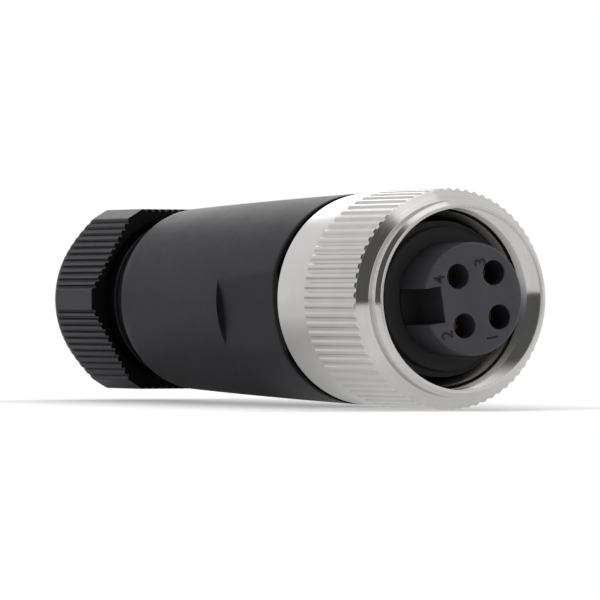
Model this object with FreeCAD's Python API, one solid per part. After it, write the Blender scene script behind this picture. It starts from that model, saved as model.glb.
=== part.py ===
import FreeCAD, Part
import math
import os

# Female cable connector: round, four sockets, screw coupling nut, cable gland.
# Lengths are in millimetres. X is the connector's axis and points to the mating end, Z is up.
# The origin is on the axis, in the plane of the coupling nut's lip. Stations run backwards from it.

# Clearances
THREAD_FIT = 0.05
SEAT_FIT = 0.06
LOOSE_FIT = 0.3
FACE_GAP = 0.05
STOP_GAP = 0.3

# Contacts: the other radii are built outwards from these, so every wall keeps its thickness
CONTACT_BORE_R = 1.0
CONTACT_BORE_DEPTH = 10.0
CONTACT_WALL = 0.25
CONTACT_INSET = 0.15
CONTACT_SLIT = 0.35
CONTACT_SLIT_LENGTH = 7.0
SOCKET_HOLE_STEP = 0.25
SOCKET_HOLE_DEPTH = 4.0
CONTACT_CIRCLE_OFFSET = 0.6
NEAR_KEY_ANGLE = 52.3
FAR_KEY_ANGLE = 134.6
WIRE_BORE_R = 1.3
WIRE_BORE_DEPTH = 13.5
HEAD_WALL = 1.0
HEAD_END_WALL = 1.9
HEAD_SPACING = 0.386

# Terminal screws and clamp plates
SCREW_R = 1.2
SCREW_LENGTH = 2.9
SCREW_SLOT = 0.5
SCREW_SLOT_DEPTH = 0.8
SCREW_PITCH = 0.5
SCREW_TURNS = 2.4
SCREW_STATION = 7.5
BOSS_RISE = 0.3
BOSS_WALL = 0.6
BOSS_LENGTH = 5.0
PLATE_LENGTH = 4.4
PLATE_THICK = 0.4
SCREW_ACCESS_FIT = 0.35

# Socket insert
FACE_REACH = 2.7
BARREL_WALL = 1.56
BARREL_LENGTH = 6.3
BARREL_EDGE = 0.25
KEYWAY_WIDTH = 4.5
KEYWAY_DEPTH = 2.65
KEY_ANGLE = 188.8
SHANK_STEP = 1.5
INSERT_FLANGE_STEP = 1.2
INSERT_FLANGE_LENGTH = 5.1
TERMINAL_END_WALL = 2.1

# Face seal
FACE_SEAL_BREADTH = 2.0
FACE_SEAL_THICK = 1.4
FACE_SEAL_SEAT = 0.3
FACE_SEAL_INSET = 0.1

# Coupling nut
NUT_LENGTH = 23.1
NUT_ROOM = 0.9
NUT_WALL = 2.8
MOUTH_STEP = 0.62
MOUTH_DEPTH = 5.0
MOUTH_CHAMFER = 0.6
LIP_WALL = 0.43
LIP_CHAMFER = 0.38
NOSE_RIM_STEP = 0.55
NOSE_CONE_START = 1.93
NOSE_CONE_LENGTH = 0.87
BAND_LENGTH = 7.3
RIB_SHOULDER = 0.1
RIB_HEIGHT = 0.22
RIB_COUNT = 70
RIB_TOP_SHARE = 0.28
RIB_FLOOR_SHARE = 0.28
NUT_FLANGE_THICK = 2.2
SKIRT_WALL = 1.35
NUT_FLOAT = 4.0

# Slip washer
SLIP_WASHER_THICK = 0.8

# Housing and its seal
HOUSING_SEAL_WIDTH = 1.3
HOUSING_SEAL_DEPTH = 1.15
HOUSING_SEAL_RISE = 0.35
HOUSING_PITCH = 1.5
HOUSING_TURNS = 4.0
NUT_GAP = 0.8
BODY_LENGTH = 44.7
BODY_TAPER = 1.35
BODY_BULGE = 0.105
BODY_EDGE = 0.4
BODY_FRONT_EDGE = 0.15
FLAT_DEPTH = 1.05
FLAT_LENGTH = 15.9
FLAT_ANGLE = 188.0
CHAMBER_WALL = 2.05
CHAMBER_CONE = 3.0
STOP_RIB_RISE = 2.4
STOP_RIB_WIDTH = 1.5
STOP_RIB_COUNT = 4
COLLAR_STEP = 1.55
COLLAR_LENGTH = 4.4
NECK_STEP = 1.2
NECK_LENGTH = 8.5
NECK_WALL = 1.4
SEAL_LEDGE_STEP = 1.4
SEAL_LEDGE_THICK = 2.2

# Cable seal and thrust washer
CABLE_SEAL_LENGTH = 12.0
CABLE_SEAL_WALL = 2.9
THRUST_WASHER_THICK = 1.0
THRUST_WASHER_STEP = 0.3

# Clamping cage
CAGE_RING_LENGTH = 3.6
CAGE_STRAIGHT = 0.2
CAGE_TAPER_LENGTH = 3.0
CAGE_BORE_STEP = 0.7
CAGE_TIP_WALL = 0.65
CAGE_SLOT = 1.0
CAGE_FINGERS = 10

# Gland nut
GLAND_PITCH = 1.5
GLAND_TIGHTEN_TURNS = 1.2
GLAND_STANDOFF = 1.6
GLAND_CORNER_DROP = 0.2
GLAND_CORNER_RISE = 1.15
GLAND_GROOVES = 11
GLAND_GROOVE_DEPTH = 0.35
GLAND_GROOVE_TOP_SHARE = 0.56
GLAND_GROOVE_FLOOR_SHARE = 0.24
GLAND_RECESS_STEP = 0.7
GLAND_RECESS_DEPTH = 3.0
GLAND_CROWN_LENGTH = 5.0
GLAND_CROWN_DROP = 2.0
GLAND_CONE_RUN = 1.2
GLAND_HOLE_STEP = 1.2
GLAND_HOLE_LENGTH = 1.5

# Radii of the contacts and of the insert round them
contact_r = CONTACT_BORE_R + CONTACT_WALL
contact_way_r = contact_r + SEAT_FIT
socket_hole_r = contact_way_r + SOCKET_HOLE_STEP
head_r = WIRE_BORE_R + HEAD_WALL
contact_half_angle = math.radians((FAR_KEY_ANGLE - NEAR_KEY_ANGLE) / 2)
contact_circle_r = (head_r + SEAT_FIT + HEAD_SPACING / 2) / math.sin(contact_half_angle)
barrel_r = contact_circle_r + socket_hole_r + BARREL_WALL
keyway_floor = barrel_r - KEYWAY_DEPTH
seal_seat_r = barrel_r - FACE_SEAL_SEAT
face_seal_r = barrel_r + FACE_SEAL_BREADTH
shank_r = barrel_r + SHANK_STEP
insert_flange_r = shank_r + INSERT_FLANGE_STEP

# Radii of the coupling nut
coupling_thread_r = insert_flange_r + NUT_ROOM
lip_bore_r = coupling_thread_r + MOUTH_STEP
lip_r = lip_bore_r + LIP_WALL
nose_rim_r = lip_r + NOSE_RIM_STEP
nut_band_r = coupling_thread_r + NUT_WALL
rib_root_r = nut_band_r + RIB_SHOULDER
rib_top_r = rib_root_r + RIB_HEIGHT
nut_flange_bore_r = shank_r + 2 * THREAD_FIT
skirt_bore_r = nut_band_r - SKIRT_WALL

# Radii of the housing, which is flush with the nut's band at its front
housing_thread_r = shank_r + THREAD_FIT
spigot_r = skirt_bore_r - LOOSE_FIT
body_front_r = nut_band_r
body_rear_r = body_front_r - BODY_TAPER
body_mid_r = (body_front_r + body_rear_r) / 2 + BODY_BULGE
flat_distance = body_front_r - FLAT_DEPTH
chamber_r = body_rear_r - CHAMBER_WALL
stop_rib_r = chamber_r - STOP_RIB_RISE
collar_r = body_rear_r - COLLAR_STEP
neck_r = collar_r - NECK_STEP
neck_bore_r = neck_r - NECK_WALL
seal_ledge_r = neck_bore_r - SEAL_LEDGE_STEP
housing_seal_groove_r = shank_r - HOUSING_SEAL_DEPTH
housing_seal_r = shank_r + HOUSING_SEAL_RISE
housing_seal_seat_r = housing_seal_r + LOOSE_FIT

# Radii of the pieces in the neck, and of the gland nut
neck_piece_r = neck_bore_r - 2 * SEAT_FIT
cable_bore_r = neck_bore_r - CABLE_SEAL_WALL
thrust_bore_r = cable_bore_r + THRUST_WASHER_STEP
cage_bore_r = cable_bore_r + CAGE_BORE_STEP
cage_tip_r = cage_bore_r + CAGE_TIP_WALL
gland_thread_r = neck_r + THREAD_FIT
gland_recess_r = collar_r + GLAND_RECESS_STEP
gland_cone_r = neck_piece_r + 2 * LOOSE_FIT
gland_hole_r = cable_bore_r + GLAND_HOLE_STEP
gland_corner_distance = body_front_r - GLAND_CORNER_DROP
gland_face_distance = gland_corner_distance - GLAND_CORNER_RISE
gland_rear_r = gland_corner_distance - GLAND_CROWN_DROP

# Stations along the axis, from the nut's lip backwards
face_x = FACE_REACH
socket_floor_x = face_x - SOCKET_HOLE_DEPTH
barrel_foot_x = face_x - BARREL_LENGTH
face_seal_front_x = barrel_foot_x - FACE_SEAL_INSET
flange_front_x = face_seal_front_x - FACE_SEAL_THICK
flange_rear_x = flange_front_x - INSERT_FLANGE_LENGTH
slip_washer_front_x = flange_rear_x - NUT_FLOAT - STOP_GAP
slip_washer_rear_x = slip_washer_front_x - SLIP_WASHER_THICK
nut_flange_front_x = slip_washer_rear_x - FACE_GAP
nut_flange_rear_x = nut_flange_front_x - NUT_FLANGE_THICK
nut_rear_x = -NUT_LENGTH
rib_rear_x = nut_rear_x + BAND_LENGTH
spigot_front_x = nut_flange_rear_x - STOP_GAP
body_front_x = nut_rear_x - NUT_GAP
body_rear_x = body_front_x - BODY_LENGTH
collar_rear_x = body_rear_x - COLLAR_LENGTH
neck_rear_x = collar_rear_x - NECK_LENGTH

# The housing's seal lies in a groove just behind its front edge, and the screw thread follows it
seal_groove_front_x = spigot_front_x - STOP_GAP
seal_groove_rear_x = seal_groove_front_x - HOUSING_SEAL_WIDTH - STOP_GAP
insert_thread_front_x = seal_groove_rear_x - STOP_GAP
insert_thread_rear_x = insert_thread_front_x - HOUSING_TURNS * HOUSING_PITCH - STOP_GAP

# Contacts and their screws, along the axis and out from each contact's own axis
head_length = WIRE_BORE_DEPTH + HEAD_END_WALL
contact_front_x = socket_floor_x - CONTACT_INSET
insert_rear_x = insert_thread_rear_x - TERMINAL_END_WALL - head_length - STOP_GAP
contact_rear_x = insert_rear_x + STOP_GAP
head_front_x = contact_rear_x + head_length
screw_x = contact_rear_x + SCREW_STATION
plate_reach = WIRE_BORE_R * math.cos(math.radians(45)) - SEAT_FIT
screw_tip = plate_reach + FACE_GAP
screw_travel = SCREW_TURNS * SCREW_PITCH
boss_reach = head_r + BOSS_RISE
boss_width = 2 * (SCREW_R + BOSS_WALL)

# Cable seal, washer, cage and gland nut
gland_tighten = GLAND_TIGHTEN_TURNS * GLAND_PITCH
cage_front_x = neck_rear_x + CAGE_RING_LENGTH
thrust_rear_x = cage_front_x + gland_tighten + STOP_GAP
thrust_front_x = thrust_rear_x + THRUST_WASHER_THICK
seal_rear_x = thrust_front_x + FACE_GAP
seal_front_x = seal_rear_x + CABLE_SEAL_LENGTH
seal_ledge_rear_x = seal_front_x + FACE_GAP
seal_ledge_front_x = seal_ledge_rear_x + SEAL_LEDGE_THICK
chamber_rear_x = seal_ledge_front_x + CHAMBER_CONE
gland_front_x = collar_rear_x - GLAND_STANDOFF
gland_recess_x = gland_front_x - GLAND_RECESS_DEPTH
gland_thread_rear_x = neck_rear_x - gland_tighten - STOP_GAP
cage_taper_x = gland_thread_rear_x - CAGE_STRAIGHT
cage_rear_x = cage_taper_x - CAGE_TAPER_LENGTH
gland_hole_front_x = cage_rear_x - GLAND_CONE_RUN
gland_rear_x = gland_hole_front_x - GLAND_HOLE_LENGTH

ORIGIN = FreeCAD.Vector(0, 0, 0)
X_AXIS = FreeCAD.Vector(1, 0, 0)
Y_AXIS = FreeCAD.Vector(0, 1, 0)


def on_plane(x, r):
    """Point of a profile: x along the axis, r out from it."""
    return FreeCAD.Vector(x, r, 0)


def turned(outline):
    """Solid turned about the axis from an outline of (x, r) points."""
    corners = [on_plane(x, r) for x, r in outline]
    face = Part.Face(Part.makePolygon(corners + corners[:1]))
    return face.revolve(ORIGIN, X_AXIS, 360)


def ring(front_x, rear_x, inner_r, outer_r):
    """Plain ring between two stations."""
    return turned([(front_x, inner_r), (front_x, outer_r), (rear_x, outer_r), (rear_x, inner_r)])


def rod(front_x, rear_x, r):
    """Plain cylinder on the axis between two stations."""
    return Part.makeCylinder(r, front_x - rear_x, FreeCAD.Vector(rear_x, 0, 0), X_AXIS)


def block(front_x, rear_x, near, far, width):
    """Box between two stations, from near to far along Y and centred across."""
    corner = FreeCAD.Vector(rear_x, near, -width / 2)
    return Part.makeBox(front_x - rear_x, far - near, width, corner)


def rolled(shape, angle):
    """Copy of a shape, turned about the axis from Y towards Z."""
    copy = shape.copy()
    copy.rotate(ORIGIN, X_AXIS, angle)
    return copy


def prism(points, front_x, rear_x):
    """Solid with an outline of (y, z) points, between two stations."""
    corners = [FreeCAD.Vector(rear_x, y, z) for y, z in points]
    face = Part.Face(Part.makePolygon(corners + corners[:1]))
    return face.extrude(FreeCAD.Vector(front_x - rear_x, 0, 0))


def polar(r, angle):
    """Point (y, z) at a radius and an angle from Y towards Z."""
    return (r * math.cos(math.radians(angle)), r * math.sin(math.radians(angle)))


def save(name, shape):
    """Write one closed solid, and print its volume."""
    solid = shape.removeSplitter()
    if not solid.isValid() or len(solid.Solids) != 1:
        print("CHECK", name, "solids", len(solid.Solids), "valid", solid.isValid())
    solid.exportStep("parts/" + name + ".step")
    print(name, round(solid.Volume, 1), "mm3")
    return solid


def rib_points(inside_r):
    """Outline round the nut: straight-sided ribs with flat tops, closed inside the nut's wall."""
    pitch = 360.0 / RIB_COUNT
    slope = (1 - RIB_TOP_SHARE - RIB_FLOOR_SHARE) / 2 * pitch
    points = []
    for index in range(RIB_COUNT):
        foot = (index + RIB_FLOOR_SHARE) * pitch
        next_foot = (index + 1) * pitch
        points.append(polar(inside_r, foot))
        points.append(polar(rib_root_r, foot))
        points.append(polar(rib_top_r, foot + slope))
        points.append(polar(rib_top_r, next_foot - slope))
        points.append(polar(rib_root_r, next_foot))
        points.append(polar(inside_r, next_foot))
    return points


def make_coupling_nut():
    nose_slope = (nut_band_r - nose_rim_r) / NOSE_CONE_LENGTH
    root_front_x = -NOSE_CONE_START - (rib_root_r - nose_rim_r) / nose_slope
    top_front_x = -NOSE_CONE_START - (rib_top_r - nose_rim_r) / nose_slope
    inside_r = nut_band_r - SKIRT_WALL / 2
    inside_x = -NOSE_CONE_START - (inside_r - nose_rim_r) / nose_slope
    body = turned([
        (0, lip_bore_r),
        (0, lip_r),
        (-LIP_CHAMFER, nose_rim_r),
        (-NOSE_CONE_START, nose_rim_r),
        (root_front_x, rib_root_r),
        (rib_rear_x, rib_root_r),
        (rib_rear_x, nut_band_r),
        (nut_rear_x, nut_band_r),
        (nut_rear_x, skirt_bore_r),
        (nut_flange_rear_x, skirt_bore_r),
        (nut_flange_rear_x, nut_flange_bore_r),
        (nut_flange_front_x, nut_flange_bore_r),
        (nut_flange_front_x, coupling_thread_r),
        (-MOUTH_DEPTH - MOUTH_CHAMFER, coupling_thread_r),
        (-MOUTH_DEPTH, lip_bore_r),
    ])
    envelope = turned([
        (inside_x, inside_r),
        (top_front_x, rib_top_r),
        (rib_rear_x, rib_top_r),
        (rib_rear_x, inside_r),
    ])
    ribs = prism(rib_points(inside_r), inside_x, rib_rear_x).common(envelope)
    return body.fuse(ribs)


def make_slip_washer():
    return ring(slip_washer_front_x, slip_washer_rear_x, nut_flange_bore_r, coupling_thread_r - LOOSE_FIT)


def contact_places():
    """Number, place across the key (k along it, q beside it) and outward angle of each contact."""
    places = []
    angles = ((1, -FAR_KEY_ANGLE), (2, -NEAR_KEY_ANGLE), (3, FAR_KEY_ANGLE), (4, NEAR_KEY_ANGLE))
    for number, angle in angles:
        k, q = polar(contact_circle_r, angle)
        k = k - CONTACT_CIRCLE_OFFSET
        places.append((number, k, -q, math.degrees(math.atan2(-q, k))))
    return places


def at_contact(shape, place):
    """Copy of a shape made round X with its outward side along Y, set at a contact's place."""
    number, k, across, angle = place
    copy = rolled(shape, angle)
    copy.translate(FreeCAD.Vector(0, k, across))
    return copy


def make_terminal_pocket():
    """Room for one contact's rear end, open to the rear, with its screw's access hole."""
    boss_front_x = screw_x + BOSS_LENGTH / 2 + SEAT_FIT
    pocket = rod(head_front_x + FACE_GAP, insert_rear_x - 1, head_r + SEAT_FIT)
    slot = block(boss_front_x, insert_rear_x - 1, 0, boss_reach + SEAT_FIT, boss_width + 2 * SEAT_FIT)
    access = Part.makeCylinder(SCREW_R + SCREW_ACCESS_FIT, shank_r, FreeCAD.Vector(screw_x, 0, 0), Y_AXIS)
    return pocket.fuse([slot, access])


def make_socket_insert():
    body = turned([
        (face_x, 0),
        (face_x, barrel_r - BARREL_EDGE),
        (face_x - BARREL_EDGE, barrel_r),
        (barrel_foot_x, barrel_r),
        (barrel_foot_x, seal_seat_r),
        (flange_front_x, seal_seat_r),
        (flange_front_x, insert_flange_r),
        (flange_rear_x, insert_flange_r),
        (flange_rear_x, shank_r),
        (seal_groove_front_x, shank_r),
        (seal_groove_front_x, housing_seal_groove_r),
        (seal_groove_rear_x, housing_seal_groove_r),
        (seal_groove_rear_x, shank_r),
        (insert_rear_x, shank_r),
        (insert_rear_x, 0),
    ])
    keyway = block(face_x + 1, barrel_foot_x, keyway_floor, barrel_r + 1, KEYWAY_WIDTH)
    hole = rod(face_x + 1, socket_floor_x, socket_hole_r)
    way = rod(face_x, head_front_x, contact_way_r)
    socket = hole.fuse([way, make_terminal_pocket()])
    cuts = [keyway]
    for place in contact_places():
        cuts.append(at_contact(socket, place))
    return rolled(body.cut(cuts), KEY_ANGLE)


def make_face_seal():
    return ring(face_seal_front_x, flange_front_x, seal_seat_r + SEAT_FIT, face_seal_r)


def make_contact():
    """One socket contact round X, its screw boss along Y."""
    tube = rod(contact_front_x, head_front_x, contact_r)
    head = rod(head_front_x, contact_rear_x, head_r)
    boss = block(screw_x + BOSS_LENGTH / 2, screw_x - BOSS_LENGTH / 2, 0, boss_reach, boss_width)
    bore = rod(contact_front_x + 1, contact_front_x - CONTACT_BORE_DEPTH, CONTACT_BORE_R)
    wire_bore = rod(contact_rear_x + WIRE_BORE_DEPTH, contact_rear_x - 1, WIRE_BORE_R)
    slit = block(contact_front_x + 1, contact_front_x - CONTACT_SLIT_LENGTH, -contact_r - 1, contact_r + 1, CONTACT_SLIT)
    hole_start = plate_reach - screw_travel - THREAD_FIT
    hole = Part.makeCylinder(SCREW_R + THREAD_FIT, boss_reach + 1 - hole_start,
                             FreeCAD.Vector(screw_x, hole_start, 0), Y_AXIS)
    solid = tube.fuse([head, boss])
    return solid.cut([bore, wire_bore, slit, hole])


def make_terminal_screw():
    """One slotted grub screw along Y, at its open end of travel."""
    shank = Part.makeCylinder(SCREW_R, SCREW_LENGTH, FreeCAD.Vector(screw_x, screw_tip, 0), Y_AXIS)
    end = screw_tip + SCREW_LENGTH
    slot = block(screw_x + SCREW_R + 1, screw_x - SCREW_R - 1, end - SCREW_SLOT_DEPTH, end + 1, SCREW_SLOT)
    return shank.cut(slot)


def make_clamp_plate():
    """One wire guard plate, just inside the wire bore's outer wall."""
    half = PLATE_LENGTH / 2
    return block(screw_x + half, screw_x - half, plate_reach - PLATE_THICK, plate_reach, 2 * plate_reach)


def make_housing_seal():
    front_x = seal_groove_front_x - STOP_GAP / 2
    return ring(front_x, front_x - HOUSING_SEAL_WIDTH, housing_seal_groove_r + SEAT_FIT, housing_seal_r)


def make_housing():
    body_middle_x = (body_front_x + body_rear_x) / 2
    body = turned([
        (spigot_front_x, housing_seal_seat_r),
        (spigot_front_x, spigot_r),
        (body_front_x, spigot_r),
        (body_front_x, body_front_r - BODY_FRONT_EDGE),
        (body_front_x - BODY_FRONT_EDGE, body_front_r),
        (body_middle_x, body_mid_r),
        (body_rear_x + BODY_EDGE, body_rear_r),
        (body_rear_x, body_rear_r - BODY_EDGE),
        (body_rear_x, collar_r),
        (collar_rear_x, collar_r),
        (collar_rear_x, neck_r),
        (neck_rear_x, neck_r),
        (neck_rear_x, neck_bore_r),
        (seal_ledge_rear_x, neck_bore_r),
        (seal_ledge_rear_x, seal_ledge_r),
        (seal_ledge_front_x, seal_ledge_r),
        (chamber_rear_x, chamber_r),
        (insert_thread_rear_x, chamber_r),
        (insert_thread_rear_x, housing_thread_r),
        (insert_thread_front_x, housing_thread_r),
        (insert_thread_front_x, housing_seal_seat_r),
    ])
    rib_front_x = insert_rear_x - STOP_GAP
    rib = block(rib_front_x, chamber_rear_x - CHAMBER_CONE / 2, stop_rib_r, chamber_r + 1, STOP_RIB_WIDTH)
    ribs = [rolled(rib, index * 360.0 / STOP_RIB_COUNT) for index in range(STOP_RIB_COUNT)]
    flat_rear_x = body_front_x - FLAT_LENGTH
    flat = block(body_front_x + 1, flat_rear_x, flat_distance, body_front_r + 2, 2 * body_front_r)
    keep = rod(body_front_x + 2, body_front_x, spigot_r + LOOSE_FIT)
    flats = [rolled(flat.cut(keep), FLAT_ANGLE + turn) for turn in (0, 180)]
    return body.fuse(ribs).cut(flats)


def make_cable_seal():
    return ring(seal_front_x, seal_rear_x, cable_bore_r, neck_piece_r)


def make_thrust_washer():
    return ring(thrust_front_x, thrust_rear_x, thrust_bore_r, neck_piece_r)


def make_clamping_cage():
    body = turned([
        (cage_front_x, cage_bore_r),
        (cage_front_x, neck_piece_r),
        (cage_taper_x, neck_piece_r),
        (cage_rear_x, cage_tip_r),
        (cage_rear_x, cage_bore_r),
    ])
    slot = block(neck_rear_x, cage_rear_x - 1, 0, neck_piece_r + 1, CAGE_SLOT)
    slots = [rolled(slot, index * 360.0 / CAGE_FINGERS) for index in range(CAGE_FINGERS)]
    return body.cut(slots)


def gland_points():
    """Outline of the gland nut: six grooved faces, with a smooth flat across each corner."""
    half_turn = math.radians(30)
    half_face = (gland_corner_distance - gland_face_distance * math.cos(half_turn)) / math.sin(half_turn)
    pitch = 2 * half_face / GLAND_GROOVES
    floor_distance = gland_face_distance - GLAND_GROOVE_DEPTH
    top_half = GLAND_GROOVE_TOP_SHARE * pitch / 2
    floor_half = GLAND_GROOVE_FLOOR_SHARE * pitch / 2
    points = []
    for side in range(6):
        turn = math.radians(30 + 60 * side)
        outline = [(gland_face_distance, -half_face)]
        for index in range(GLAND_GROOVES):
            middle = -half_face + (index + 0.5) * pitch
            outline.append((gland_face_distance, middle - top_half))
            outline.append((floor_distance, middle - floor_half))
            outline.append((floor_distance, middle + floor_half))
            outline.append((gland_face_distance, middle + top_half))
        outline.append((gland_face_distance, half_face))
        for out, along in outline:
            y = out * math.cos(turn) - along * math.sin(turn)
            z = out * math.sin(turn) + along * math.cos(turn)
            points.append((y, z))
    return points


def make_gland_nut():
    reach = gland_corner_distance + BODY_EDGE
    envelope = turned([
        (gland_front_x + 1, 0),
        (gland_front_x + 1, reach),
        (gland_rear_x + GLAND_CROWN_LENGTH, reach),
        (gland_rear_x, gland_rear_r),
        (gland_rear_x, 0),
    ])
    inside = turned([
        (gland_front_x + 1, 0),
        (gland_front_x + 1, gland_recess_r),
        (gland_recess_x, gland_recess_r),
        (gland_recess_x, gland_thread_r),
        (gland_thread_rear_x, gland_thread_r),
        (gland_thread_rear_x, gland_cone_r),
        (cage_taper_x, gland_cone_r),
        (gland_hole_front_x, gland_hole_r),
        (gland_rear_x - 1, gland_hole_r),
        (gland_rear_x - 1, 0),
    ])
    return prism(gland_points(), gland_front_x, gland_rear_x).common(envelope).cut(inside)


save("coupling_nut", make_coupling_nut())
save("slip_washer", make_slip_washer())
save("socket_insert", make_socket_insert())
save("face_seal", make_face_seal())
save("housing_seal", make_housing_seal())
save("housing", make_housing())
save("cable_seal", make_cable_seal())
save("thrust_washer", make_thrust_washer())
save("clamping_cage", make_clamping_cage())
save("gland_nut", make_gland_nut())

inner_pieces = (
    ("socket_contact", make_contact()),
    ("terminal_screw", make_terminal_screw()),
    ("clamp_plate", make_clamp_plate()),
)
for place in contact_places():
    for name, piece in inner_pieces:
        save(name + "_" + str(place[0]), rolled(at_contact(piece, place), KEY_ANGLE))

for label, station in (
    ("face", face_x),
    ("barrel foot", barrel_foot_x),
    ("nut flange rear", nut_flange_rear_x),
    ("body rear", body_rear_x),
    ("insert rear", insert_rear_x),
    ("seal front", seal_front_x),
    ("cage rear", cage_rear_x),
    ("gland rear", gland_rear_x),
):
    print(label, round(station, 2))
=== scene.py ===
# %% [markdown]
# # A round female power connector
# The real thing joins a cable to a sensor box: a nickel nut screws onto the other half, a black
# moulded insert carries four sockets, a tapered housing covers the screw terminals, and a gland
# nut squeezes a rubber sleeve round the cable. Its solids come from a CAD program at real size.
# This lesson dresses them: it adds soft edges, fine ribs, screw threads and surface finishes.
# Everything is in metres in one shared frame. X is the connector's axis and points to the mating
# end, and Z is up. The part's sizes are written in millimetres and multiplied by MM, while the
# floor, the world and the lamps around it are placed in metres.

# %% Load the frame
import math

import bmesh
import bpy
from mathutils import Matrix, Vector


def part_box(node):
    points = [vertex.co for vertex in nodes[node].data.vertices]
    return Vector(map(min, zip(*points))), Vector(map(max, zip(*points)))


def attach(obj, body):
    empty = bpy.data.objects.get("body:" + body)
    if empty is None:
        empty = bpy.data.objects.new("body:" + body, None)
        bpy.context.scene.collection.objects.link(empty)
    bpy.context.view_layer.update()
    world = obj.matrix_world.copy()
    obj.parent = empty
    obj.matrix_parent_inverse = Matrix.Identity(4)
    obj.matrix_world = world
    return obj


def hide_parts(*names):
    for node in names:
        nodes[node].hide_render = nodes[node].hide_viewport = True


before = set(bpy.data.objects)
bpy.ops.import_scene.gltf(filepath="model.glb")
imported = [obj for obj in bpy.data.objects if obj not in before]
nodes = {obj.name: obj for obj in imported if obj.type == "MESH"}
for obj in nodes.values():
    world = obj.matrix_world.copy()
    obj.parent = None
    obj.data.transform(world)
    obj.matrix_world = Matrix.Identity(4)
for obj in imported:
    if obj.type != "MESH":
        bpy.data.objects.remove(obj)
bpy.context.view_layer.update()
MM = 0.001

# %% [markdown]
# The camera comes first, because every later choice is judged through it. The photographer
# used a long lens from far away, so the round edges keep nearly the same size from front to
# back. A plain camera object with a 350 mm lens gives that flat look, and a wide lens close by
# would not.

# %% Camera
camera_data = bpy.data.cameras.new("camera")
camera_data.lens = 350.0
camera_data.sensor_width = 36.0
camera_data.clip_start = 0.01
camera = bpy.data.objects.new("camera", camera_data)
bpy.context.scene.collection.objects.link(camera)
camera.location = Vector((618.57, -366.63, -0.13)) * MM
camera.rotation_euler = (math.radians(90), 0, math.radians(60.94))
bpy.context.scene.camera = camera
print("camera is", round(camera.location.length, 3), "m from the origin")

# %% [markdown]
# Shader maths reads badly as node calls. A small class can wrap one socket and overload the
# arithmetic signs, so that a line of Python such as 1 - mask * 0.5 adds the Math nodes by
# itself. The reflected forms let a plain number stand on the left of the sign.


# %% Shader maths
class Value:
    """One number that changes over a surface: a socket with arithmetic."""

    def __init__(self, bench, socket):
        self.bench = bench
        self.socket = socket

    def _math(self, operation, first, second=0.0):
        return self.bench.node("ShaderNodeMath", {"operation": operation}, {0: first, 1: second}).value(0)

    def __add__(self, other):
        return self._math("ADD", self, other)

    def __radd__(self, other):
        return self._math("ADD", other, self)

    def __sub__(self, other):
        return self._math("SUBTRACT", self, other)

    def __rsub__(self, other):
        return self._math("SUBTRACT", other, self)

    def __mul__(self, other):
        return self._math("MULTIPLY", self, other)

    def root(self):
        return self._math("SQRT", self)

    def size(self):
        """The value without its sign."""
        return self._math("ABSOLUTE", self)

    def between(self, low, high):
        """0 below low, 1 above high and a straight slope between them."""
        sockets = {0: self, 1: low, 2: high, 3: 0.0, 4: 1.0}
        return self.bench.node("ShaderNodeMapRange", {"clamp": True}, sockets).value(0)


class Step:
    """One added node; value(i) wraps its output as a Value, and out(i) gives the bare socket."""

    def __init__(self, bench, node):
        self.bench = bench
        self.node = node

    def out(self, index=0):
        return self.node.outputs[index]

    def value(self, index=0):
        return Value(self.bench, self.node.outputs[index])


class Bench:
    """A shader tree that nodes are added to: a material's or the world's."""

    def __init__(self, tree):
        self.tree = tree

    def node(self, kind, settings, sockets):
        """Add a node: its settings first, then a value or a link for each named or numbered socket."""
        node = self.tree.nodes.new(kind)
        for key, setting in settings.items():
            setattr(node, key, setting)
        for key, given in sockets.items():
            if isinstance(given, Value):
                given = given.socket
            if isinstance(given, bpy.types.NodeSocket):
                self.tree.links.new(given, node.inputs[key])
            else:
                node.inputs[key].default_value = given
        return Step(self, node)

    def finish(self, kind, shader):
        """Link a shader's socket to the tree's output node."""
        self.tree.links.new(shader, self.tree.nodes[kind].inputs[0])


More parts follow.
